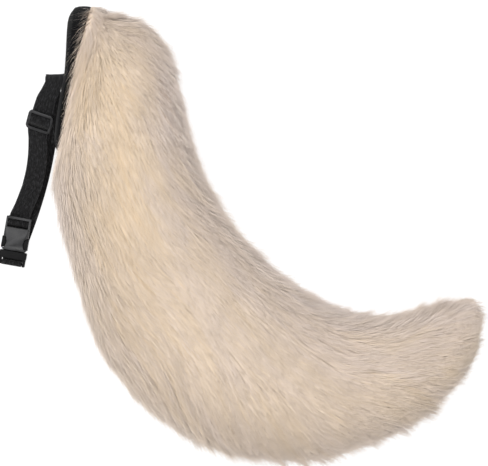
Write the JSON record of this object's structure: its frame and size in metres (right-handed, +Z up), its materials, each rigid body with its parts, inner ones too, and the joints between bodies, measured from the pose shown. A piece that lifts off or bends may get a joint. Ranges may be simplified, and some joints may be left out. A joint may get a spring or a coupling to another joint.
{
  "type": "costume animal tail",
  "caption": "Stuffed long-fur costume tail curved like a crescent, closed by a padded oval panel, on a webbing waist belt with an adjuster and a side-release buckle.",
  "frame": {"origin": "on the floor, under the middle of the bounding box", "axes": "+Z up from the floor the tail lies on; +Y towards the root's upper end, away from the bend; +X towards the tip"},
  "size_m": [0.619, 0.5814, 0.1712],
  "materials": {
    "fur": "long soft pile",
    "panel_cloth": "matt cloth",
    "webbing": "ribbed weave",
    "plastic": "satin moulded"
  },
  "bodies": {
    "root": {"tail_fur": "fur", "root_panel": "panel_cloth", "belt_carrier": "webbing", "belt_webbing": "webbing", "belt_slider": "plastic", "buckle_female": "plastic", "buckle_male": "plastic"}
  },
  "joints": []
}
